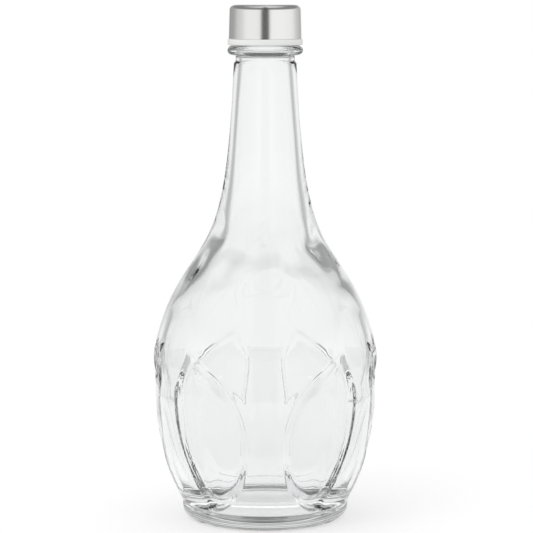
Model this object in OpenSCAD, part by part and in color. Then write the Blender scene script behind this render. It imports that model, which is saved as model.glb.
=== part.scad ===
// A drink bottle of clear glass with a long neck and a screw cap, standing upright on its foot.
// The glass is a solid of revolution, blown in a mould whose wall presses leaf-shaped panels into the
// lower body, in mirrored pairs. The cap is a steel shell over a plastic insert, with a sealing disc.
// The origin is the centre of the foot, +Z is up, and -Y is the front, where a pair of panels faces.

/* [Body] */
// Height of the glass, from what it stands on to the lip
glass_h = 257.9; // [250:0.1:266]
// Diameter of the body at its widest
body_d = 116.2; // [110:0.2:124]
// Height of the widest place
belly_h = 69; // [64:1:74]
// Diameter where the shoulder turns from bulging to hollow
shoulder_d = 83.6; // [78:0.2:89]
// Height of that turn
shoulder_h = 125; // [119:1:131]
// Lean of the wall at that turn, outwards per length of height
shoulder_lean = 0.655; // [0.55:0.005:0.75]
// Diameter of the neck below its collar
neck_d = 31.8; // [30.4:0.1:33.2]

/* [Foot] */
// Diameter of the foot ring
foot_d = 84.8; // [81:0.2:88]
// Height of the foot ring
foot_h = 9; // [8:0.5:11]
// Diameter of the flat ring that the bottle stands on, measured in its middle
stand_d = 70; // [66:1:72]
// Width of that flat ring
stand_w = 2; // [1:0.5:3]
// Height of the hollow under the foot, at its centre
punt_h = 3.5; // [2:0.5:5]

/* [Glass thickness] */
// Height of the floor inside the bottle
floor_h = 8; // [7:0.5:10.5]
// Thickness of the belly, beside the panels
belly_wall = 5.8; // [4.8:0.1:7]
// Thickness of the shoulder where the inside turns into the neck, measured level
shoulder_wall = 8.5; // [7.5:0.1:10]
// How far above the outer turn the inside turns into the neck
shoulder_rise = 11; // [8:0.5:13]

/* [Mouth] */
// Diameter of the bore through the mouth
bore_d = 24; // [22:0.1:25]
// Length of the bore's straight part, from the lip
bore_l = 25.7; // [22:0.1:30]
// Diameter of the finish that the cap screws on, without its thread
finish_d = 30; // [29:0.1:30.4]
// Height of the finish above the bead
finish_h = 16.6; // [15.6:0.1:17.6]
// Diameter of the bead below the cap
bead_d = 38.2; // [36.5:0.1:39]
// Height of the bead
bead_h = 4.8; // [4:0.1:5.5]
// Height of the short collar between neck and bead
collar_h = 4.3; // [3.5:0.1:5]
// Rounding of the lip's two edges
lip_round = 1; // [0.6:0.1:1.3]

/* [Leaf panels] */
// Number of mirrored pairs of panels round the body
panel_pairs = 3; // [2:1:3]
// Height of the panels' tips above the base
panel_top_h = 94; // [88:1:98]
// Height of the panels' lowest edge above the foot ring
panel_gap = 0.8; // [0.5:0.1:2]
// Depth of the panels
panel_depth = 1.5; // [0.8:0.1:2]
// Width of the sloping edge round each panel
panel_bevel = 2.2; // [1.6:0.1:2.6]
// Height of the lower point of the flat facet between two pairs, which the panels' tips run into
facet_low_h = 68; // [60:1:74]
// Height where that facet runs out below the shoulder's turn
facet_high_h = 111; // [102:1:116]
// Depth of that facet at its middle
facet_depth = 2.4; // [1.6:0.1:3]

/* [Cap] */
// Diameter of the steel shell at its lower edge
shell_d = 36.8; // [36:0.1:37.4]
// Diameter of the steel shell where its top edge begins to round
shell_top_d = 36; // [35.6:0.1:36.8]
// Thickness of the steel sheet
shell_t = 0.5; // [0.4:0.05:0.6]
// Rounding of the shell's top edge
shell_round = 2.6; // [1.6:0.1:3]
// Diameter of the insert's rim, which shows below the shell
rim_d = 38; // [37.6:0.1:38.4]
// Height of that rim
rim_h = 3; // [2:0.1:3.5]
// Thickness of the insert's top wall
insert_top_t = 1.5; // [1:0.1:2]
// Diameter inside the insert, without its thread
insert_bore_d = 33; // [32.6:0.1:33.2]
// Thickness of the sealing disc
liner_t = 1.8; // [1.2:0.1:2.4]

/* [Clearances] */
// Gap between the bead and the cap's rim when the cap is tight
rim_gap = 0.3; // [0.2:0.05:0.6]
// Gap between the shell and the insert that it covers, at the side
shell_fit = 0.05; // [0.02:0.01:0.1]
// Gap round the sealing disc
liner_gap = 0.3; // [0.2:0.05:0.4]

/* [Hidden] */
$fn = 96;

// Steps of each curve of the glass, of its small roundings, and of each side of a panel
curve_steps = 13;
round_steps = 6;
panel_steps = 8;
// How far a cut runs past what it cuts
overrun = 1;

// Heights up the bottle, from the foot to the lip
finish_low_h = glass_h - finish_h;
bead_low_h = finish_low_h - bead_h;
neck_top_h = bead_low_h - collar_h;
bore_low_h = glass_h - bore_l;
bead_round = bead_h / 2;
heel_round = (foot_d - stand_d - stand_w) / 2;

// How far each curve runs straight before it bends, as a share of its own height or width, and its
// lean there as width per height
foot_pull_share = 0.294;
foot_lean = 0.513;
belly_low_share = 0.487;
belly_high_share = 0.287;
turn_low_share = 0.35;
turn_high_share = 0.217;
neck_pull_share = 0.735;
neck_lean = 0.044;
floor_share = 0.55;
floor_pull_share = 0.7;
inside_low_share = 0.42;
inside_turn_high_share = 0.11;
inside_turn_lean = 0.78;
inside_neck_pull_share = 0.77;
inside_neck_lean = 0.077;
punt_flat_share = 0.55;
punt_edge_share = 0.12;
// How far the wall thins above the belly and below the inside's turn, as shares of its thickness there
thin_low_share = 0.4;
thin_high_share = 0.56;

// One cubic curve through four given points, without its first point
function curve(p, steps) = [for (i = [1 : steps]) let (t = i / steps, s = 1 - t)
    s * s * s * p[0] + 3 * s * s * t * p[1] + 3 * s * t * t * p[2] + t * t * t * p[3]];

// An arc about a centre from one angle to another, both ends included
function arc(centre, r, from, to) = [for (i = [0 : round_steps])
    let (a = from + (to - from) * i / round_steps) centre + r * [cos(a), sin(a)]];

// The outside of the body from the foot ring to the collar, each point a radius and a height
foot_edge = [foot_d / 2, foot_h];
belly_out = [body_d / 2, belly_h];
turn_out = [shoulder_d / 2, shoulder_h];
neck_out = [neck_d / 2, neck_top_h];
lower_h = belly_h - foot_h;
upper_h = shoulder_h - belly_h;
neck_h = neck_top_h - shoulder_h;
lower_curve = curve([foot_edge,
    foot_edge + lower_h * foot_pull_share * [foot_lean, 1],
    belly_out - [0, lower_h * belly_low_share],
    belly_out], curve_steps);
upper_curve = curve([belly_out,
    belly_out + [0, upper_h * belly_high_share],
    turn_out + upper_h * turn_low_share * [shoulder_lean, -1],
    turn_out], curve_steps);
neck_curve = curve([turn_out,
    turn_out + neck_h * turn_high_share * [-shoulder_lean, 1],
    neck_out + neck_h * neck_pull_share * [neck_lean, -1],
    neck_out], curve_steps);
body_line = concat([foot_edge], lower_curve, upper_curve);

// The inside from the floor to the straight bore. From the belly up to its turn it is the outside less
// a thickness that follows a curve too.
floor_edge = [(foot_d / 2 - belly_wall) * floor_share, floor_h];
belly_in = [body_d / 2 - belly_wall, belly_h];
turn_in_h = shoulder_h + shoulder_rise;
turn_in = [radius_at(turn_in_h, neck_curve) - shoulder_wall, turn_in_h];
upper_walls = curve([belly_wall, belly_wall * thin_low_share, shoulder_wall * thin_high_share,
    shoulder_wall], curve_steps);
bore_low = [bore_d / 2, bore_low_h];
inside_low_h = belly_h - floor_h;
inside_up_h = turn_in_h - belly_h;
inside_neck_h = bore_low_h - turn_in_h;
inside_line = concat([floor_edge],
    curve([floor_edge,
        floor_edge + [(belly_in[0] - floor_edge[0]) * floor_pull_share, 0],
        belly_in - [0, inside_low_h * inside_low_share],
        belly_in], curve_steps),
    [for (i = [1 : curve_steps]) let (h = belly_h + inside_up_h * i / curve_steps)
        [radius_at(h, concat(body_line, neck_curve)) - upper_walls[i - 1], h]],
    curve([turn_in,
        turn_in + inside_neck_h * inside_turn_high_share * [-inside_turn_lean, 1],
        bore_low + inside_neck_h * inside_neck_pull_share * [inside_neck_lean, -1],
        bore_low], curve_steps));

// Radius of a rising line of points at a given height
function radius_at(h, line) = let (above = [for (p = line) if (p[1] >= h) p],
    below = [for (p = line) if (p[1] < h) p])
    len(below) == 0 ? above[0][0] : len(above) == 0 ? below[len(below) - 1][0] :
    let (a = below[len(below) - 1], b = above[0])
    a[0] + (b[0] - a[0]) * (h - a[1]) / (b[1] - a[1]);

// A panel's outline, from its tip down the long side and up the short side. Each point is a share of
// the angle from the middle of the pair to the next gap, and a share of the panel's height.
panel_shares = [
    [[0.730, 1.000], [0.485, 0.885], [0.143, 0.740], [0.143, 0.412]],
    [[0.143, 0.412], [0.143, 0.176], [0.333, 0.000], [0.600, 0.000]],
    [[0.600, 0.000], [0.708, 0.000], [0.860, 0.424], [0.860, 0.718]],
    [[0.860, 0.718], [0.860, 0.790], [0.785, 0.905], [0.730, 1.000]]];
// The panel's middle, in the same shares, and half its width, as a share of the angle
panel_middle_share = [0.5, 0.45];
panel_half_share = 0.36;

panel_low_h = foot_h + panel_gap;
panel_h = panel_top_h - panel_low_h;
panel_angle = 180 / panel_pairs;
panel_half_w = body_d / 2 * panel_half_share * panel_angle * PI / 180;

// The outline drawn in about its middle, at a given height above or below the body's surface, so that
// the panel's edge slopes and is panel_bevel wide at the sides
function panel_line(height) = let (draw_in = 1 + height / panel_depth * panel_bevel / panel_half_w)
    [for (side = panel_shares) for (p = curve(side, panel_steps))
        panel_middle_share + (p - panel_middle_share) * draw_in];

// A point of the outline at a given distance from the axis, and one a given height above the body there
function share_h(p) = panel_low_h + p[1] * panel_h;
function round_body(p, r) = let (a = p[0] * panel_angle) [r * sin(a), -r * cos(a), share_h(p)];
function on_body(p, height) = round_body(p, radius_at(share_h(p), body_line) + height);

// Distance from the axis that is well outside the body
far_r = body_d * 5 / 8;

// The body's own form, less the depth of a panel, as a ring that reaches outwards past the belly
module panel_ring() {
    ring_top_h = panel_top_h + panel_bevel + overrun;
    line = [for (p = body_line) if (p[1] < ring_top_h) p];
    rotate_extrude() polygon(concat([for (p = line) p - [panel_depth, 0]],
        [[2 * far_r, line[len(line) - 1][1]], [2 * far_r, foot_h]]));
}

// A plug with one panel's outline: its sides slope up from below the panel to just above the body, and
// then run straight outwards
module panel_plug() {
    deep_h = -panel_depth - overrun;
    high_line = panel_line(overrun);
    n = len(high_line);
    points = concat(
        [for (p = panel_line(deep_h)) on_body(p, deep_h)],
        [for (p = high_line) on_body(p, overrun)],
        [for (p = high_line) round_body(p, far_r)],
        [on_body(panel_middle_share, deep_h - overrun), round_body(panel_middle_share, far_r)]);
    sides = [for (ring = [0, n], i = [0 : n - 1]) let (a = ring + i, b = ring + (i + 1) % n)
        each [[a, b + n, b], [a, a + n, b + n]]];
    ends = [for (i = [0 : n - 1]) let (j = (i + 1) % n)
        each [[3 * n, i, j], [3 * n + 1, 2 * n + j, 2 * n + i]]];
    polyhedron(points, concat(sides, ends));
}

// All panels, as the space that they take out of the body
module panels() {
    intersection() {
        panel_ring();
        for (pair = [0 : panel_pairs - 1], side = [0, 1]) {
            rotate(pair * 360 / panel_pairs) mirror([side, 0, 0]) panel_plug();
        }
    }
}

// The space outside one flat facet: a block whose face leans as the body does from one of the facet's
// heights to the other, sunk in half way up. The block runs past both heights, clear of the body.
module facet_block() {
    facet_h = facet_high_h - facet_low_h;
    middle_h = facet_low_h + facet_h / 2;
    middle_r = radius_at(middle_h, body_line) - facet_depth;
    lean = atan2(radius_at(facet_low_h, body_line) - radius_at(facet_high_h, body_line), facet_h);
    translate([0, -middle_r, middle_h]) rotate([-lean, 0, 0])
        translate([-body_d / 2, -far_r, -facet_h]) cube([body_d, far_r, 2 * facet_h]);
}

// All facets, each half way round from one pair's middle to the next
module facets() {
    for (pair = [0 : panel_pairs - 1]) rotate((pair + 1 / 2) * 360 / panel_pairs) facet_block();
}

// The full outline of the glass, from the centre of the foot round the outside to the lip's flat top
module glass_outside() {
    stand_in = (stand_d - stand_w) / 2;
    stand_out = (stand_d + stand_w) / 2;
    finish_r = finish_d / 2;
    underside = curve([[stand_in, 0],
        [stand_in * (1 - punt_edge_share), punt_h],
        [stand_in * punt_flat_share, punt_h],
        [0, punt_h]], round_steps);
    points = concat(
        [for (i = [len(underside) - 1 : -1 : 0]) underside[i]],
        [[stand_in, 0]],
        arc([stand_out, heel_round], heel_round, -90, 0),
        body_line, neck_curve,
        [[finish_r, neck_top_h + neck_d / 2 - finish_r], [finish_r, bead_low_h]],
        arc([bead_d / 2 - bead_round, bead_low_h + bead_round], bead_round, -90, 90),
        [[finish_r, finish_low_h]],
        arc([finish_r - lip_round, glass_h - lip_round], lip_round, 0, 90),
        [[0, glass_h]]);
    rotate_extrude() polygon(points);
}

// The room inside the glass, up through the rounded edge of the mouth
module glass_inside() {
    bore_r = bore_d / 2;
    edge = arc([bore_r + lip_round, glass_h - lip_round], lip_round, 180, 90);
    rotate_extrude() polygon(concat([[0, floor_h]], inside_line, edge,
        [[bore_r + lip_round, glass_h + overrun], [0, glass_h + overrun]]));
}

module glass_bottle() {
    color([0.80, 0.86, 0.84, 0.45]) difference() {
        glass_outside();
        panels();
        facets();
        glass_inside();
    }
}

// The cap, measured up from the rim that rests just above the bead
rim_low_h = finish_low_h + rim_gap;
shell_low_h = rim_low_h + rim_h;
insert_high_h = glass_h + liner_t + insert_top_t;
cap_high_h = insert_high_h + shell_t;
insert_r = shell_d / 2 - shell_t - shell_fit;
insert_top_r = shell_top_d / 2 - shell_t - shell_fit;
shell_straight_h = cap_high_h - shell_round;
inner_round = shell_round - shell_t;

// Pressed steel shell, open below, with a rounded top edge and slightly leaning sides
module cap_shell() {
    color([0.74, 0.75, 0.76]) rotate_extrude() polygon(concat(
        [[shell_d / 2 - shell_t, shell_low_h], [shell_d / 2, shell_low_h]],
        arc([shell_top_d / 2 - shell_round, shell_straight_h], shell_round, 0, 90),
        [[0, cap_high_h], [0, insert_high_h]],
        arc([shell_top_d / 2 - shell_round, shell_straight_h], inner_round, 90, 0)));
}

// Moulded plastic insert: a cup with its rim below the shell's edge. Its thread is left plain here.
module cap_insert() {
    bore_r = insert_bore_d / 2;
    rim_r = rim_d / 2;
    rim_round = rim_h / 6;
    color([0.96, 0.96, 0.95]) rotate_extrude() polygon(concat(
        [[bore_r, rim_low_h]],
        arc([rim_r - rim_round, rim_low_h + rim_round], rim_round, -90, 0),
        arc([rim_r - rim_round, shell_low_h - rim_round], rim_round, 0, 90),
        [[insert_r, shell_low_h]],
        arc([insert_top_r - inner_round, shell_straight_h], inner_round, 0, 90),
        [[0, insert_high_h], [0, insert_high_h - insert_top_t], [bore_r, insert_high_h - insert_top_t]]));
}

// Soft disc that seals on the lip, loose in the top of the insert
module sealing_liner() {
    color([0.90, 0.90, 0.87]) translate([0, 0, glass_h])
        cylinder(r = insert_bore_d / 2 - liner_gap, h = liner_t);
}

glass_bottle();
cap_shell();
cap_insert();
sealing_liner();
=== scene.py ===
# A drink bottle of clear blown glass with a screw cap, dressed for a photograph: the glass with its
# leaf panels and thread, the sealing disc, the plastic insert, the steel shell, and a pale table.

import math
from functools import lru_cache

import bmesh
import bpy
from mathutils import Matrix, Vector, noise
from mathutils.geometry import interpolate_bezier


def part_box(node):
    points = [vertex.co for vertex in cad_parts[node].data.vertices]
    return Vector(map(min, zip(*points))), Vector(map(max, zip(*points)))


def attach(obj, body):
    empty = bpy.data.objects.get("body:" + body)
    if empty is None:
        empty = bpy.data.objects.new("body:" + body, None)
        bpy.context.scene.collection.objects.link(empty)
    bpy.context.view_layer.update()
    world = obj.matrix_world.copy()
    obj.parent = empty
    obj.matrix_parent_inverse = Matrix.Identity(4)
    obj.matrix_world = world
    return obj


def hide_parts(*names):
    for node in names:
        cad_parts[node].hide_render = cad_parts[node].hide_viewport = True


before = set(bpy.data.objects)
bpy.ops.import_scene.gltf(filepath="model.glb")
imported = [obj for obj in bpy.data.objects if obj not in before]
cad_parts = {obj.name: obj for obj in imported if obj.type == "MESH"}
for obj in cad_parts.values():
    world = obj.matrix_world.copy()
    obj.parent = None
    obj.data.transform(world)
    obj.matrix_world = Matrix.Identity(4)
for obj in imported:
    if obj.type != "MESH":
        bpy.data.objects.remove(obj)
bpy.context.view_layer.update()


# Glass bottle. One piece of clear soda-lime glass, blown in a steel mould that presses leaf-shaped
# panels and flat facets into the body and the bead and thread into the mouth, then fire-polished.

MM = 0.001
glass_low, glass_high = (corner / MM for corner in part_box("glass_bottle"))
lip_z = glass_high.z
belly_r = -glass_low.y

foot_r = 42.4
foot_z = 9
stand_r = 35
stand_w = 2
punt_z = 3.5
belly_z = 69
shoulder_r = 41.8
shoulder_z = 125
shoulder_lean = 0.655
neck_r = 15.9
finish_r = 15
bead_r = 19.1
bead_h = 4.8
collar_h = 4.3
finish_h = 16.6
bead_z = lip_z - finish_h - bead_h
collar_z = bead_z - collar_h
lip_round = 1
fillet = 0.6

floor_z = 8
bore_r = 12
bore_l = 25.7
bore_z = lip_z - bore_l
wall_belly = 5.8
wall_shoulder = 8.5
turn_rise = 11
turn_in_z = shoulder_z + turn_rise

# How far each outer curve runs straight before it bends, as a share of its height, and its lean there
foot_pull, foot_lean = 0.294, 0.513
belly_pull_low, belly_pull_high = 0.487, 0.287
turn_pull_low, turn_pull_high = 0.35, 0.217
neck_pull, neck_lean = 0.735, 0.044

segments = 168
pair_angle = 120


def curve(a, b, c, d, steps):
    """Points of one cubic curve, without its first point."""
    flat = [Vector((p[0], 0, p[1])) for p in (a, b, c, d)]
    return [(p.x, p.z) for p in interpolate_bezier(*flat, steps + 1)[1:]]


def arc(centre, radius, start, end, steps):
    """Points of a round, with angles in degrees from level outwards."""
    turns = [math.radians(start + (end - start) * i / steps) for i in range(steps + 1)]
    return [(centre[0] + radius * math.cos(t), centre[1] + radius * math.sin(t)) for t in turns]


def body_curves(rows):
    """The outside from the foot to the collar, with a number of rows for each of its three curves."""
    low, mid, high = belly_z - foot_z, shoulder_z - belly_z, collar_z - shoulder_z
    belly, turn = (belly_r, belly_z), (shoulder_r, shoulder_z)
    start = (foot_r + foot_pull * low * foot_lean, foot_z + foot_pull * low)
    below = (shoulder_r + turn_pull_low * mid * shoulder_lean, shoulder_z - turn_pull_low * mid)
    above = (shoulder_r - turn_pull_high * high * shoulder_lean, shoulder_z + turn_pull_high * high)
    neck = (neck_r + neck_pull * high * neck_lean, collar_z - neck_pull * high)
    return (curve((foot_r, foot_z), start, (belly_r, belly_z - belly_pull_low * low), belly, rows[0])
            + curve(belly, (belly_r, belly_z + belly_pull_high * mid), below, turn, rows[1])
            + curve(turn, above, neck, (neck_r, collar_z), rows[2]))


fine_line = [(foot_r, foot_z)] + body_curves((300, 300, 300))


def radius_at(z, line=fine_line):
    """Radius of a rising line at a height."""
    low, high = 0, len(line) - 1
    while high - low > 1:
        middle = (low + high) // 2
        if line[middle][1] > z:
            high = middle
        else:
            low = middle
    (r0, z0), (r1, z1) = line[low], line[high]
    return r0 + (r1 - r0) * (z - z0) / (z1 - z0)


# The leaf's outline, as the angle from the middle of its pair and the height, one curve a side
leaf_low, leaf_high = 9.8, 94
leaf_rows = 16
leaf_shares = [
    [(0.730, 1.000), (0.485, 0.885), (0.143, 0.740), (0.143, 0.412)],
    [(0.143, 0.412), (0.143, 0.176), (0.333, 0.000), (0.600, 0.000)],
    [(0.600, 0.000), (0.708, 0.000), (0.860, 0.424), (0.860, 0.718)],
    [(0.860, 0.718), (0.860, 0.790), (0.785, 0.905), (0.730, 1.000)]]
leaf_line = [(a * pair_angle / 2, leaf_low + h * (leaf_high - leaf_low))
             for side in leaf_shares for a, h in curve(*side, leaf_rows)]
# The leaf's edge goes down in two steps: where each starts inside the outline, how deep it goes and its
# share of the width. The mould leaves them crisp or soft along the outline, so the width goes by places
# on it, from 0 to 4, one a side. From the edge the leaf swells again to its middle.
leaf_steps = ((-0.2, 1.3, 1), (2.0, 0.9, 0.85))
step_widths = [(0, 3), (0.24, 3), (0.46, 0.85), (0.84, 0.85), (1.0, 2.2), (1.5, 2.4), (1.7, 1.6),
               (1.9, 1.6), (2.2, 3), (2.4, 2.1), (2.7, 2.25), (3.4, 2.25), (3.6, 2.6), (3.8, 3), (4, 3)]
leaf_swell, swell_from, swell_over = 0.6, 3.5, 8
# The inside follows the leaf softly, and dips towards it behind the edge, where the edge is crisp
leaf_inner, inner_from, inner_over = 0.9, 1, 9
wall_dip = 0.5
dip_widest, dip_fade = 2.4, 1.5
dip_from, dip_over = -3.2, 5
rise_from, rise_over = 2, 8
relief_low, relief_full = 24, 42
facet_low, facet_high = 68, 111
facet_depth = 2.4
facet_middle = (facet_low + facet_high) / 2
facet_face = radius_at(facet_middle) - facet_depth
facet_lean = (radius_at(facet_low) - radius_at(facet_high)) / (facet_high - facet_low)
facet_round = 0.8
facet_round_inside = 2.5
inner_share = 0.8


@lru_cache(None)
def leaf_edge(angle, z):
    """Distance inside the leaf's outline, and the nearest place on the outline."""
    round_mm = math.radians(1) * radius_at(z)
    best, place, inside = 1e9, 0, False
    for i, (a1, z1) in enumerate(leaf_line):
        a0, z0 = leaf_line[i - 1]
        x0, y0, x1, y1 = ((a0 - angle) * round_mm, z0 - z, (a1 - angle) * round_mm, z1 - z)
        dx, dy = x1 - x0, y1 - y0
        t = max(0, min(1, -(x0 * dx + y0 * dy) / (dx * dx + dy * dy)))
        far = math.hypot(x0 + t * dx, y0 + t * dy)
        if far < best:
            best, place = far, (i + t) / leaf_rows
        if (y0 > 0) != (y1 > 0) and x0 - y0 * dx / dy > 0:
            inside = not inside
    return best if inside else -best, place


def smooth(t):
    """A soft step from 0 to 1."""
    t = max(0, min(1, t))
    return t * t * (3 - 2 * t)


def step_width(place):
    """How wide a step of the leaf's edge is at a place on the outline."""
    for (a, wide_a), (b, wide_b) in zip(step_widths, step_widths[1:]):
        if place <= b:
            return wide_a + (wide_b - wide_a) * smooth((place - a) / (b - a))
    return wide_b


def with_facet(angle, z, depth, rounding):
    """The depth at a point, with the flat facet blended in over it."""
    face = facet_face - facet_lean * (z - facet_middle)
    cut = radius_at(z) - face / math.cos(math.radians(pair_angle / 2 - angle))
    mix = max(0, min(1, 0.5 + (cut - depth) / rounding / 2))
    return max(0, depth + (cut - depth) * mix + rounding * mix * (1 - mix))


@lru_cache(None)
def pressed_inside(angle, z):
    """How far the inside of the wall follows the leaf and the facet, with softer edges."""
    inside, place = leaf_edge(angle, z)
    crisp = smooth((dip_widest - step_width(place)) / dip_fade)
    dip = smooth((inside - dip_from) / dip_over) - smooth((inside - rise_from) / rise_over)
    leaf = leaf_inner * smooth((inside - inner_from) / inner_over)
    return inner_share * with_facet(angle, z, leaf, facet_round_inside) - wall_dip * crisp * dip


@lru_cache(None)
def pressed(angle, z):
    """How deep the mould presses a point of the body in."""
    inside, place = leaf_edge(angle, z)
    width = step_width(place)
    depth = sum(deep * smooth((inside - start) / width / share) for start, deep, share in leaf_steps)
    swell = leaf_swell * smooth((inside - swell_from) / swell_over)
    return with_facet(angle, z, depth - swell, facet_round)


def turned(name, outline, steps, cut=None):
    """A closed solid of revolution from a line of radius and height that starts and ends on the axis."""
    bm = bmesh.new()
    line = [bm.verts.new((0, -r * MM, z * MM)) for r, z in outline]
    for a, b in zip(line, line[1:]):
        bm.edges.new((a, b))
    bmesh.ops.spin(bm, geom=bm.verts[:] + bm.edges[:], cent=(0, 0, 0), axis=(0, 0, 1),
                   angle=math.tau, steps=steps, use_merge=True, use_duplicate=False)
    bmesh.ops.remove_doubles(bm, verts=bm.verts, dist=1e-6)
    if cut:
        cut(bm)
    bmesh.ops.recalc_face_normals(bm, faces=bm.faces)
    mesh = bpy.data.meshes.new(name)
    bm.to_mesh(mesh)
    bm.free()
    mesh.polygons.foreach_set("use_smooth", [True] * len(mesh.polygons))
    piece = bpy.data.objects.new(name, mesh)
    bpy.context.scene.collection.objects.link(piece)
    return piece


punt_flat_r, punt_edge_r = 18, 29
underside = curve((0, punt_z), (punt_flat_r, punt_z), (punt_edge_r, punt_z), (stand_r - stand_w / 2, 0), 9)
heel_round = foot_r - stand_r - stand_w / 2
groove = 1.0
groove_below = 1.7
groove_rows = 8
groove_row = 0.25
collar_step, collar_step_h = 0.15, 0.35
collar_fillet_h = 1.4
bead_round = bead_h / 2
bead_mid = (bead_r - bead_round, bead_z + bead_round)
finish_low = bead_z + bead_h
outside = ([(0, punt_z)] + underside
           + arc((stand_r + stand_w / 2, heel_round), heel_round, -90, 0, 9)
           + [(foot_r - groove * (1 - math.cos(math.tau * i / groove_rows)) / 2,
               foot_z - groove_below + i * groove_row) for i in range(groove_rows + 1)]
           + body_curves((42, 36, 24))
           + [(neck_r - collar_step, collar_z + collar_step_h)]
           + arc((finish_r + fillet, collar_z + collar_fillet_h), fillet, 220, 180, 2)
           + arc((finish_r + fillet, bead_z - fillet), fillet, 180, 90, 3)
           + arc(bead_mid, bead_round, -90, 90, 12)
           + arc((finish_r + fillet, finish_low + fillet), fillet, 270, 180, 3))
thread_rows = 26
thread_low = finish_low + fillet
thread_margin = 0.8
thread_high = lip_z - lip_round - thread_margin
outside += [(finish_r, thread_low + (thread_high - thread_low) * (i + 1) / thread_rows)
            for i in range(thread_rows)]
outside += arc((finish_r - lip_round, lip_z - lip_round), lip_round, 0, 90, 4)

# Shares of the inside's curves, and of the wall's thickness above the belly and below the turn
floor_share, floor_pull = 0.55, 0.7
floor_flat_r, floor_bend_r = 8, 14
bore_rises = (8, 16)
inner_belly_pull = 0.42
thin_above, thin_below = 0.4, 0.56
inner_turn_pull, inner_turn_lean = 0.11, 0.78
inner_neck_pull, inner_neck_lean = 0.77, 0.077
belly_in = (belly_r - wall_belly, belly_z)
floor_in = ((foot_r - wall_belly) * floor_share, floor_z)
turn_in = (radius_at(turn_in_z) - wall_shoulder, turn_in_z)
inner_low = belly_z - floor_z
inner_up = turn_in_z - belly_z
inner_neck = bore_z - turn_in_z
walls = curve((wall_belly, belly_z), (wall_belly * thin_above, belly_z + inner_up / 3),
              (wall_shoulder * thin_below, belly_z + inner_up * 2 / 3), (wall_shoulder, turn_in_z), 20)
inside_line = (
    [(0, floor_z)]
    + curve((0, floor_z), (floor_flat_r, floor_z), (floor_bend_r, floor_z), floor_in, 6)
    + curve(floor_in, (floor_in[0] + (belly_in[0] - floor_in[0]) * floor_pull, floor_z),
            (belly_in[0], belly_z - inner_belly_pull * inner_low), belly_in, 22)
    + [(radius_at(z) - wall, z) for wall, z in walls]
    + curve(turn_in, (turn_in[0] - inner_turn_pull * inner_neck * inner_turn_lean,
                      turn_in[1] + inner_turn_pull * inner_neck),
            (bore_r + inner_neck_pull * inner_neck * inner_neck_lean,
             bore_z - inner_neck_pull * inner_neck), (bore_r, bore_z), 22)
    + [(bore_r, bore_z + rise) for rise in bore_rises]
    + arc((bore_r + lip_round, lip_z - lip_round), lip_round, 180, 90, 4))

# The thread is one ridge that winds up the finish, 4.233 mm a turn (six threads an inch)
thread_pitch = 25.4 / 6
thread_rise = 1.2
thread_turns = 1.6
thread_width, thread_top = 2.4, 0.9
thread_first = 2.2
thread_start = thread_low + thread_first
run_out = 0.08


def ridge(angle, z, start, turns, width, top):
    """Height share of a winding ridge at an angle in degrees and a height, with its ends run out."""
    best = 0
    for lap in range(-1, int(turns) + 2):
        turn = angle / 360 + lap
        if 0 <= turn <= turns:
            off = abs(z - start - turn * thread_pitch)
            side = smooth((width / 2 - off) / ((width - top) / 2))
            ends = smooth(min(turn, turns - turn) / run_out)
            best = max(best, side * ends)
    return best


# The mould's seam stands proud by a hair where the two halves meet, at the front and at the back
seam_w = 0.5
seam_rise = 0.12
# The inside was never touched by the mould: it waves gently all over and ripples at the shoulder
wave_length, wave_height, wave_fade = 26, 0.22, 20
ripple_length, ripple_height = 11, 0.9
ripple_low, ripple_high, ripple_fade = 112, 160, 14
# Where the faces are halved, round after round: from and to inside a leaf's edge, and the widest step
outer_rounds = ((-1.6, 4.2, 2.4), (-0.9, 3.5, 2.4), (-0.4, 3.1, 1.1))
inner_rounds = ((-4.5, 10.5, 1.6), (-3.6, 3, 1.2))
refine_low, refine_high = foot_z + 0.5, leaf_high + 3
# How near a point counts as on a wall, and how far from the axis and up the leaves and facets reach
wall_side = 0.1
hair = 0.01
floor_reach = 0.6
outside_reach = facet_high + 3
inside_reach = facet_high + 6
seam_above_collar = 1


def body_angle(v):
    """Angle of a point from the middle of the nearest pair of leaves, signed, and the whole turn to it."""
    turn = math.degrees(math.atan2(v.x, -v.y))
    return (turn + pair_angle / 2) % pair_angle - pair_angle / 2, turn


def refine(bm, low, high, widest, outer):
    """Halves the outer or inner faces between two distances inside a leaf's edge, where it is crisp."""
    edges = set()
    for f in bm.faces:
        c = f.calc_center_median()
        r, z = math.hypot(c.x, c.y) / MM, c.z / MM
        on_side = (r > radius_at(z) - wall_side) == outer and r > foot_r * floor_reach
        if refine_low < z < refine_high and on_side:
            inside, place = leaf_edge(round(abs(body_angle(c)[0]), 3), round(z, 3))
            if low < inside < high and step_width(place) < widest:
                edges.update(f.edges)
    bmesh.ops.subdivide_edges(bm, edges=list(edges), cuts=1, use_grid_fill=True)


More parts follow.
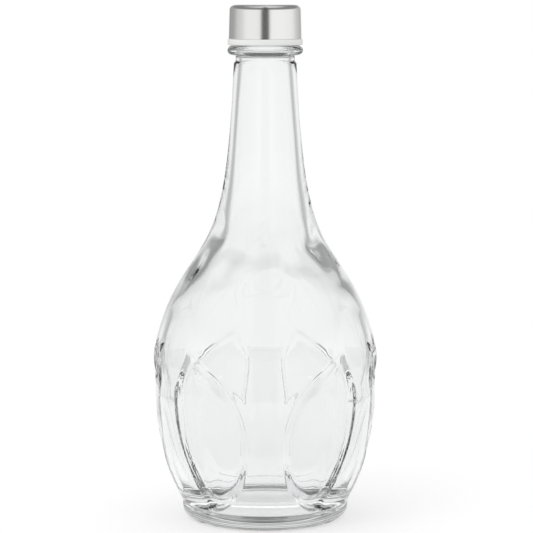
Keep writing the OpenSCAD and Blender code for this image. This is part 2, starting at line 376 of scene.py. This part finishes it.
def press_glass(bm):
    """Presses panels and facets into the spun form, and raises the thread and the seam."""
    for low, high, widest in outer_rounds:
        refine(bm, low, high, widest, True)
    for low, high, widest in inner_rounds:
        refine(bm, low, high, widest, False)
    for v in bm.verts:
        r, z = math.hypot(v.co.x, v.co.y) / MM, v.co.z / MM
        if r < hair:
            continue
        off, turn = body_angle(v.co)
        near = (round(abs(off), 3), round(z, 3))
        outer = z < foot_z + hair or r > radius_at(min(max(z, foot_z), collar_z)) - wall_side
        if outer and foot_z + 2 * hair < z < outside_reach:
            r = radius_at(z) - pressed(*near)
        elif z > finish_low and r > finish_r - hair:
            r += thread_rise * ridge(turn % 360, z, thread_start, thread_turns, thread_width, thread_top)
        if (z > collar_z + seam_above_collar or z < foot_z) and r > finish_r - hair and z < finish_low:
            across = min(abs(turn), 180 - abs(turn))
            r += seam_rise * smooth(1 - math.radians(across) * r / seam_w)
        if not outer and z < bore_z:
            if z < inside_reach and r > foot_r * floor_reach:
                r -= pressed_inside(*near) * smooth((z - relief_low) / (relief_full - relief_low))
            place = Vector((math.sin(math.radians(turn)) * r, math.cos(math.radians(turn)) * r, z))
            r += wave_height * noise.noise(place / wave_length) * smooth((bore_z - z) / wave_fade)
            r += (ripple_height * noise.noise(place / ripple_length)
                  * smooth((z - ripple_low) / ripple_fade) * smooth((ripple_high - z) / ripple_fade))
        v.co.x = math.sin(math.radians(turn)) * r * MM
        v.co.y = -math.cos(math.radians(turn)) * r * MM


glass = turned("glass_bottle_clear", outside + inside_line[::-1], segments, press_glass)


def linear(hex_colour):
    """An sRGB hex value as the linear colour that the shaders take."""
    parts = [int(hex_colour[i:i + 2], 16) / 255 for i in (1, 3, 5)]
    return [c / 12.92 if c <= 0.04045 else ((c + 0.055) / 1.055) ** 2.4 for c in parts] + [1]


def add(tree, kind, links=(), **settings):
    """A node of one kind with its settings, socket values by name, and links from other sockets."""
    node = tree.nodes.new(kind)
    for key, value in settings.items():
        if hasattr(node, key):
            setattr(node, key, value)
        else:
            node.inputs[key.replace("_", " ")].default_value = value
    for socket, source in dict(links).items():
        tree.links.new(source, node.inputs[socket])
    return node


def new_material(name):
    material = bpy.data.materials.new(name)
    material.use_nodes = True
    material.node_tree.nodes.clear()
    return material, material.node_tree


# Soda-lime glass, fire-polished: clear and wet-looking, a little grey where it is thick
glass_material, tree = new_material("soda_lime_glass_fire_polished")
body_shader = add(tree, "ShaderNodeBsdfPrincipled", Base_Color=linear("#fdfefe"), Roughness=0.0,
                  IOR=1.52)
body_shader.inputs["Transmission Weight"].default_value = 1
depth_shader = add(tree, "ShaderNodeVolumeAbsorption", Color=linear("#cecfcf"), Density=5.5)
add(tree, "ShaderNodeOutputMaterial",
    {"Surface": body_shader.outputs[0], "Volume": depth_shader.outputs[0]})
glass.data.materials.append(glass_material)
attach(glass, "bottle")
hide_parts("glass_bottle")


# Sealing disc. Foamed polyethylene, die-cut from sheet and dropped loose into the top of the insert. It
# lies on the lip and seals it when the cap is tight.

liner_low, liner_high = (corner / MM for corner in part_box("sealing_liner"))
liner_r = liner_high.x
liner_round = 0.3
liner = turned("sealing_liner_foam", [(0, liner_low.z)]
               + arc((liner_r - liner_round, liner_low.z + liner_round), liner_round, -90, 0, 3)
               + arc((liner_r - liner_round, liner_high.z - liner_round), liner_round, 0, 90, 3)
               + [(0, liner_high.z)], 96)

# Foamed polyethylene with a skin: off-white and matt, with fine closed cells
foam_cell = 0.7
foam, tree = new_material("foamed_polyethylene")
coords = add(tree, "ShaderNodeTexCoord")
cells = add(tree, "ShaderNodeTexVoronoi", {"Vector": coords.outputs["Object"]},
            Scale=1 / (foam_cell * MM))
dents = add(tree, "ShaderNodeBump", {"Height": cells.outputs["Distance"]}, Strength=0.25,
            Distance=0.05 * MM)
skin = add(tree, "ShaderNodeBsdfPrincipled", {"Normal": dents.outputs[0]},
           Base_Color=linear("#ecebe4"), Roughness=0.65)
add(tree, "ShaderNodeOutputMaterial", {"Surface": skin.outputs[0]})
liner.data.materials.append(foam)
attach(liner, "liner")
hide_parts("sealing_liner")


# Insert. A cup of white polypropylene, injection moulded, with the thread inside and a rim that shows
# below the steel. It is pressed into the shell and carries it.

insert_low, insert_high = (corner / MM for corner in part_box("cap_insert"))
shell_low, shell_high = (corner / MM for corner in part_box("cap_shell"))
rim_r = insert_high.x
insert_bore = 16.5
insert_top = 1.5
shell_r = shell_high.x
shell_top_r = 18
shell_t = 0.5
shell_round = 2.6
shell_fit = 0.05
insert_r = shell_r - shell_t - shell_fit
insert_top_r = shell_top_r - shell_t - shell_fit
inner_round = shell_round - shell_t
rim_round = 0.6
insert_thread_rise = 0.9
insert_thread_turns = 1.7
insert_thread_width, insert_thread_top = 1.5, 0.6
insert_edge = 0.4
insert_plain = 0.1
insert_thread_start = thread_start - thread_pitch / 2
insert_rows = 34


def press_insert(bm):
    """Raises the thread inside the insert, half a pitch from the glass one so that they interlock."""
    for v in bm.verts:
        r, z = math.hypot(v.co.x, v.co.y) / MM, v.co.z / MM
        if abs(r - insert_bore) < hair and z < insert_high.z - insert_top - insert_plain:
            turn = math.degrees(math.atan2(v.co.x, -v.co.y)) % 360
            rise = insert_thread_rise * ridge(turn, z, insert_thread_start, insert_thread_turns,
                                              insert_thread_width, insert_thread_top)
            v.co.x *= 1 - rise / r
            v.co.y *= 1 - rise / r


bore_high = insert_high.z - insert_top
insert_line = ([(0, bore_high)]
               + [(insert_bore, bore_high - (bore_high - insert_low.z - insert_edge) * i / insert_rows)
                  for i in range(insert_rows + 1)]
               + arc((rim_r - rim_round, insert_low.z + rim_round), rim_round, -90, 0, 5)
               + arc((rim_r - rim_round, shell_low.z - rim_round), rim_round, 0, 90, 5)
               + [(insert_r, shell_low.z)]
               + arc((insert_top_r - inner_round, shell_high.z - shell_round), inner_round, 0, 90, 4)
               + [(0, insert_high.z)])
insert = turned("cap_insert_white", insert_line, 180, press_insert)
insert.data.set_sharp_from_angle(angle=math.radians(50))

# White polypropylene, injection moulded: clean white with a soft shine and a faint mould texture
grain = 0.4
plastic, tree = new_material("white_polypropylene_moulded")
coords = add(tree, "ShaderNodeTexCoord")
speckle = add(tree, "ShaderNodeTexNoise", {"Vector": coords.outputs["Object"]},
              Scale=1 / (grain * MM), Detail=2.0)
texture = add(tree, "ShaderNodeBump", {"Height": speckle.outputs[0]}, Strength=0.12,
              Distance=0.02 * MM)
surface = add(tree, "ShaderNodeBsdfPrincipled", {"Normal": texture.outputs[0]},
              Base_Color=linear("#f8f9f6"), Roughness=0.35)
add(tree, "ShaderNodeOutputMaterial", {"Surface": surface.outputs[0]})
insert.data.materials.append(plastic)
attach(insert, "cap")
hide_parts("cap_insert")


# Shell. Stainless steel sheet, deep drawn into a shallow cup with a rounded top edge and its lower
# edge curled, then spun-polished and pressed over the insert.

hem = 0.25
dish = 0.15
hem_step = 0.06
side_rise = 0.5
side_rows = 6
dish_shares = ((0.75, 0.4), (0.4, 0.8), (0, 1))
side_low = shell_low.z + hem
side_high = shell_high.z - shell_round
side_start = side_low + side_rise


def side_r(z):
    """Radius of the shell's leaning side at a height."""
    return shell_r + (shell_top_r - shell_r) * (z - shell_low.z) / (side_high - shell_low.z)


shell_line = ([(0, shell_high.z - shell_t - dish)]
              + arc((shell_top_r - shell_round, side_high), inner_round, 90, 0, 6)
              + [(side_r(side_low) - shell_t, side_low)]
              + arc((side_r(side_low) - hem, side_low), hem, 180, 360, 6)
              + [(side_r(side_low + hem) - hem_step, side_low + hem), (side_r(side_start), side_start)]
              + [(side_r(z), z) for z in (side_start + (side_high - side_low - side_rise) * i / side_rows
                                          for i in range(1, side_rows))]
              + arc((shell_top_r - shell_round, side_high), shell_round, 0, 90, 10)
              + [(shell_top_r * out, shell_high.z - dish * down) for out, down in dish_shares])
shell = turned("cap_shell_steel", shell_line, 180)
shell.data.set_sharp_from_angle(angle=math.radians(40))

# Stainless steel, spun-polished: a satin mirror whose fine rings round the axis stretch the
# reflections upright. The rings are drawn coarser than real ones, which are too fine to show.
ring = 0.12
steel, tree = new_material("stainless_steel_spun_polished")
coords = add(tree, "ShaderNodeTexCoord")
split = add(tree, "ShaderNodeSeparateXYZ", {"Vector": coords.outputs["Object"]})
spread = add(tree, "ShaderNodeMath", {0: split.outputs["X"], 1: split.outputs["Y"]}, operation="ARCTAN2")
out_mm = add(tree, "ShaderNodeVectorMath", {0: coords.outputs["Object"]}, operation="MULTIPLY")
out_mm.inputs[1].default_value = (1, 1, 0)
radius = add(tree, "ShaderNodeVectorMath", {0: out_mm.outputs[0]}, operation="LENGTH")
along = add(tree, "ShaderNodeMath", {0: spread.outputs[0]}, operation="MULTIPLY")
along.inputs[1].default_value = 2 * MM
rings = add(tree, "ShaderNodeCombineXYZ", {"X": radius.outputs["Value"], "Y": split.outputs["Z"],
                                           "Z": along.outputs[0]})
lines = add(tree, "ShaderNodeTexNoise", {"Vector": rings.outputs[0]}, Scale=1 / (ring * MM), Detail=3.0)
relief = add(tree, "ShaderNodeBump", {"Height": lines.outputs[0]}, Strength=0.15, Distance=0.01 * MM)
shine = add(tree, "ShaderNodeMapRange", {"Value": lines.outputs[0]})
shine.inputs["To Min"].default_value = 0.12
shine.inputs["To Max"].default_value = 0.22
around = add(tree, "ShaderNodeTangent", direction_type="RADIAL", axis="Z")
metal = add(tree, "ShaderNodeBsdfPrincipled",
            {"Normal": relief.outputs[0], "Roughness": shine.outputs[0], "Tangent": around.outputs[0]},
            Base_Color=linear("#eeeeed"), Metallic=1.0, Anisotropic=0.5)
add(tree, "ShaderNodeOutputMaterial", {"Surface": metal.outputs[0]})
shell.data.materials.append(steel)
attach(shell, "cap")
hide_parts("cap_shell")


# Table. A plain white board under the bottle. It takes the bottle's soft shadow. To the camera it is about
# as white as the backdrop.
# Seen through the glass it glows with painted light: a painted pool of light at the foot that grows greyer
# away from it.

# The glow levels seen through the glass are painted light: bright at the foot, greyer farther out
table_r = 0.45
table_glow = 0.58
through_near, through_far = 0.02, 0.12
painted_pool_glow, painted_far_glow = 0.75, 0.48
bm = bmesh.new()
bmesh.ops.create_circle(bm, cap_ends=True, segments=128, radius=table_r)
table_mesh = bpy.data.meshes.new("table")
bm.to_mesh(table_mesh)
bm.free()
table = bpy.data.objects.new("table", table_mesh)
bpy.context.scene.collection.objects.link(table)

board, tree = new_material("white_board")
seen = add(tree, "ShaderNodeLightPath")
mirrored = add(tree, "ShaderNodeMath", {0: seen.outputs["Is Camera Ray"], 1: seen.outputs["Is Glossy Ray"]},
               operation="MAXIMUM")
glow_plain = add(tree, "ShaderNodeMath", {0: mirrored.outputs[0]}, operation="MULTIPLY")
glow_plain.inputs[1].default_value = table_glow
coords = add(tree, "ShaderNodeTexCoord")
away = add(tree, "ShaderNodeVectorMath", {0: coords.outputs["Object"]}, operation="LENGTH")
# Painted light: what the glass shows of the board glows brighter near the foot and greyer farther out
painted_light_through_glass = add(tree, "ShaderNodeMapRange", {"Value": away.outputs["Value"]})
for name, value in (("From Min", through_near), ("From Max", through_far),
                    ("To Min", painted_pool_glow), ("To Max", painted_far_glow)):
    painted_light_through_glass.inputs[name].default_value = value
glow_level = add(tree, "ShaderNodeMix", {0: seen.outputs["Is Transmission Ray"], 2: glow_plain.outputs[0],
                                         3: painted_light_through_glass.outputs[0]}, data_type="FLOAT")
paper = add(tree, "ShaderNodeBsdfDiffuse", Color=linear("#bcbcbc"))
glow = add(tree, "ShaderNodeEmission", {"Strength": glow_level.outputs[0]})
both = add(tree, "ShaderNodeAddShader", {0: paper.outputs[0], 1: glow.outputs[0]})
add(tree, "ShaderNodeOutputMaterial", {"Surface": both.outputs[0]})
table.data.materials.append(board)


# Studio. A white room with softboxes to the left and right. What the steel mirrors has a dark gap at the
# camera and a dark ceiling. What the glass bends has dark flags beside the backdrop, a dark ceiling and
# a darker strip along it.

world = bpy.data.worlds.new("studio")
bpy.context.scene.world = world
world.use_nodes = True
tree = world.node_tree
tree.nodes.clear()


def ramp(tree, source, stops, interpolation="EASE"):
    """Brightness along a value from 0 to 1, by stops of place and brightness."""
    node = add(tree, "ShaderNodeValToRGB", {0: source})
    node.color_ramp.interpolation = interpolation
    elements = node.color_ramp.elements
    while len(elements) > 1:
        elements.remove(elements[0])
    for i, (place, level) in enumerate(stops):
        element = elements[0] if i == 0 else elements.new(place)
        element.position = place
        element.color = (level, level, level, 1)
    return node


coords = add(tree, "ShaderNodeTexCoord")
# Turned so that 0.5 is straight ahead of the camera, growing to the left, one whole turn from 0 to 1
turn_to_camera = add(tree, "ShaderNodeMapping", {"Vector": coords.outputs["Generated"]})
turn_to_camera.inputs["Rotation"].default_value = (0, 0, math.radians(-90))
azimuth = add(tree, "ShaderNodeTexGradient", {"Vector": turn_to_camera.outputs[0]}, gradient_type="RADIAL")
split = add(tree, "ShaderNodeSeparateXYZ", {"Vector": coords.outputs["Generated"]})
height = add(tree, "ShaderNodeMapRange", {"Value": split.outputs["Z"]})
height.inputs["From Min"].default_value = -1


def bearings(stops):
    """Stops in degrees from straight ahead, left negative, as places on the ramp."""
    return [(0.5 - degrees / 360, level) for degrees, level in sorted(stops, reverse=True)]


def heights(stops):
    """Stops in degrees above level, as places on the ramp."""
    return [(math.sin(math.radians(degrees)) / 2 + 0.5, level) for degrees, level in stops]


mirror_round = ramp(tree, azimuth.outputs["Fac"], bearings(
    [(-180, 0.1), (-170, 0.1), (-164, 0.95), (-123, 0.95), (-90, 0.7), (-55, 0.4), (-20, 0.35),
     (-8, 1), (8, 1), (30, 0.45), (52, 0.6), (93, 0.95), (130, 1), (164, 1), (170, 0.1), (180, 0.1)]))
mirror_up = ramp(tree, height.outputs[0], heights([(-90, 1), (8, 1), (25, 0.25), (50, 0.25), (75, 0.8)]))
bent_round = ramp(tree, azimuth.outputs["Fac"], bearings(
    [(-180, 0.85), (-155, 0.8), (-125, 0.55), (-100, 0.5), (-75, 0.7), (-60, 0.6), (-48, 0.47),
     (-40, 0.57), (-30, 0.92), (-22, 1), (22, 1), (30, 0.9), (40, 0.6), (50, 0.47), (60, 0.6),
     (75, 0.7), (100, 0.5), (125, 0.55), (155, 0.8), (180, 0.85)]))
bent_up = ramp(tree, height.outputs[0], heights(
    [(-90, 1), (0, 1), (5, 0.88), (9, 0.78), (13, 0.5), (18, 0.34), (25, 0.36), (38, 0.42), (52, 0.6),
     (70, 0.8), (90, 1)]))


# A dark strip of ceiling runs over the table from the camera to the backdrop, and the foot bends it in
sideways = add(tree, "ShaderNodeMapRange", {"Value": split.outputs["X"]})
sideways.inputs["From Min"].default_value = -1
strip_dark = 0.12
strip_side = ramp(tree, sideways.outputs[0],
                  [(0, 1), (0.34, 1), (0.42, strip_dark), (0.58, strip_dark), (0.66, 1), (1, 1)])
strip_up = ramp(tree, height.outputs[0], heights(
    [(-90, 1), (21, 1), (28, strip_dark), (76, strip_dark), (86, 0.5), (90, 0.5)]))


def level(one, other, kind="DARKEN"):
    """The darker one of two levels, or the lighter one."""
    return add(tree, "ShaderNodeMix", {6: one, 7: other}, data_type="RGBA", blend_type=kind, Factor=1.0)


mirror_level = level(mirror_round.outputs[0], mirror_up.outputs[0])
strip = level(strip_side.outputs[0], strip_up.outputs[0], "LIGHTEN")
bent_level = level(level(bent_round.outputs[0], bent_up.outputs[0]).outputs[2], strip.outputs[2])
path = add(tree, "ShaderNodeLightPath")
plain = add(tree, "ShaderNodeMix", {0: path.outputs["Is Camera Ray"]}, data_type="RGBA")
plain.inputs[6].default_value = (0.85, 0.85, 0.85, 1)
plain.inputs[7].default_value = (1, 1, 1, 1)
with_mirror = add(tree, "ShaderNodeMix", {0: path.outputs["Is Glossy Ray"], 6: plain.outputs[2],
                                          7: mirror_level.outputs[2]}, data_type="RGBA")
with_bent = add(tree, "ShaderNodeMix", {0: path.outputs["Is Transmission Ray"], 6: with_mirror.outputs[2],
                                        7: bent_level.outputs[2]}, data_type="RGBA")
room = add(tree, "ShaderNodeBackground", {"Color": with_bent.outputs[2]})
add(tree, "ShaderNodeOutputWorld", {"Surface": room.outputs[0]})

# One large softbox above and to the left, which only lights, so that it doesn't show in the glass
lamp = bpy.data.lights.new("softbox", "AREA")
lamp.shape = "DISK"
lamp.size = 0.9
lamp.energy = 3.0
softbox = bpy.data.objects.new("softbox", lamp)
softbox.location = (-0.7, -0.8, 1.1)
softbox.rotation_euler = (Vector((0, 0, 0.15)) - softbox.location).to_track_quat("-Z", "Y").to_euler()
softbox.visible_camera = softbox.visible_glossy = softbox.visible_transmission = False
bpy.context.scene.collection.objects.link(softbox)


# Camera. A long lens 1.24 m in front of the bottle's axis and 0.28 m above the table, higher than the
# cap. It looks slightly down at the bottle's middle, which fits the outline in the photo.

camera = bpy.data.objects.new("camera", bpy.data.cameras.new("camera"))
camera.data.lens = 166
camera.data.sensor_width = 36
camera.data.shift_x = 0.0024
camera.location = (0, -1.243, 0.282)
look_at = Vector((0, 0, 0.129))
camera.rotation_euler = (look_at - camera.location).to_track_quat("-Z", "Y").to_euler()
bpy.context.scene.collection.objects.link(camera)
scene = bpy.context.scene
scene.camera = camera
scene.view_settings.view_transform = "Standard"
scene.cycles.max_bounces = 40
scene.cycles.transmission_bounces = 40
scene.cycles.glossy_bounces = 16
